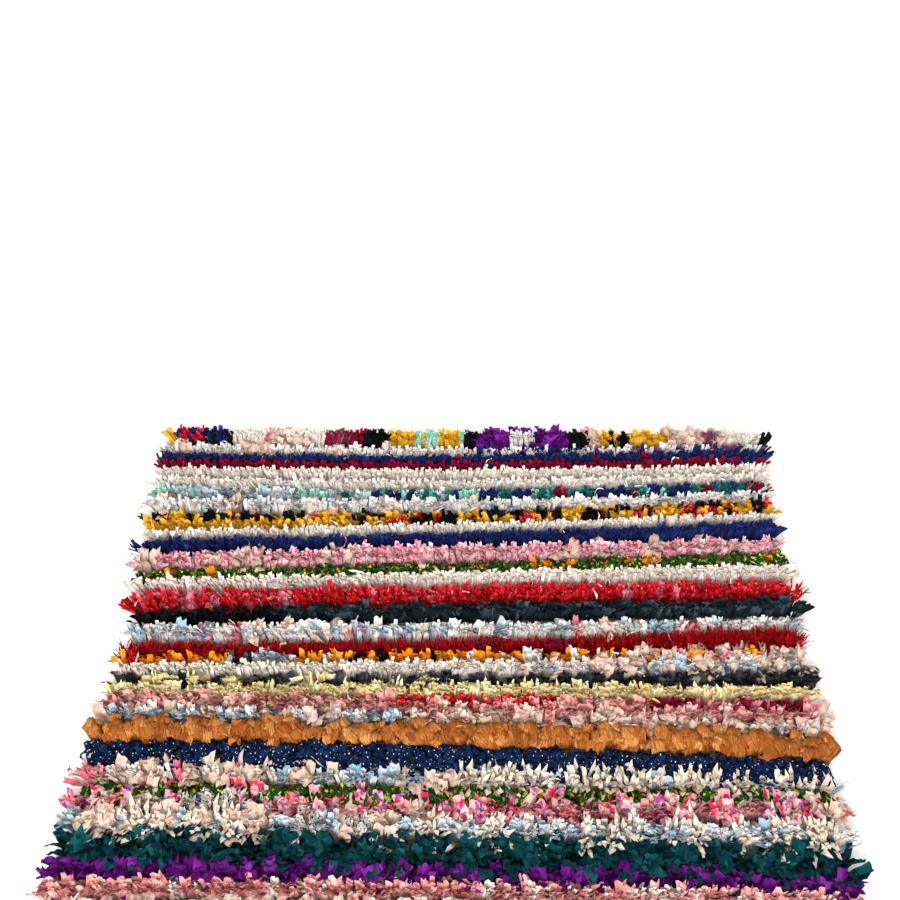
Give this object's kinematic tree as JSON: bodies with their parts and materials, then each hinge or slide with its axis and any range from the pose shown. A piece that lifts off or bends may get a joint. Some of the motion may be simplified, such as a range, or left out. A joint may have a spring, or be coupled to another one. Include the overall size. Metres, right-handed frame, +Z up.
{
  "type": "boucherouite rug",
  "caption": "Hand-knotted rag rug lying flat, with uneven edges and shaggy cross stripes of cream, navy, red, pink, ochre, teal and purple cotton scraps.",
  "frame": {"origin": "Middle of the rug's underside, on the floor.", "axes": "+X across the width to the right seen from the near end, +Y along the length to the far end, +Z up out of the pile."},
  "size_m": [1.32, 2, 0.038],
  "materials": {
    "rag_pile": "matte",
    "ground_weave": "matte"
  },
  "bodies": {
    "root": {"rug": "rag_pile"}
  },
  "joints": []
}
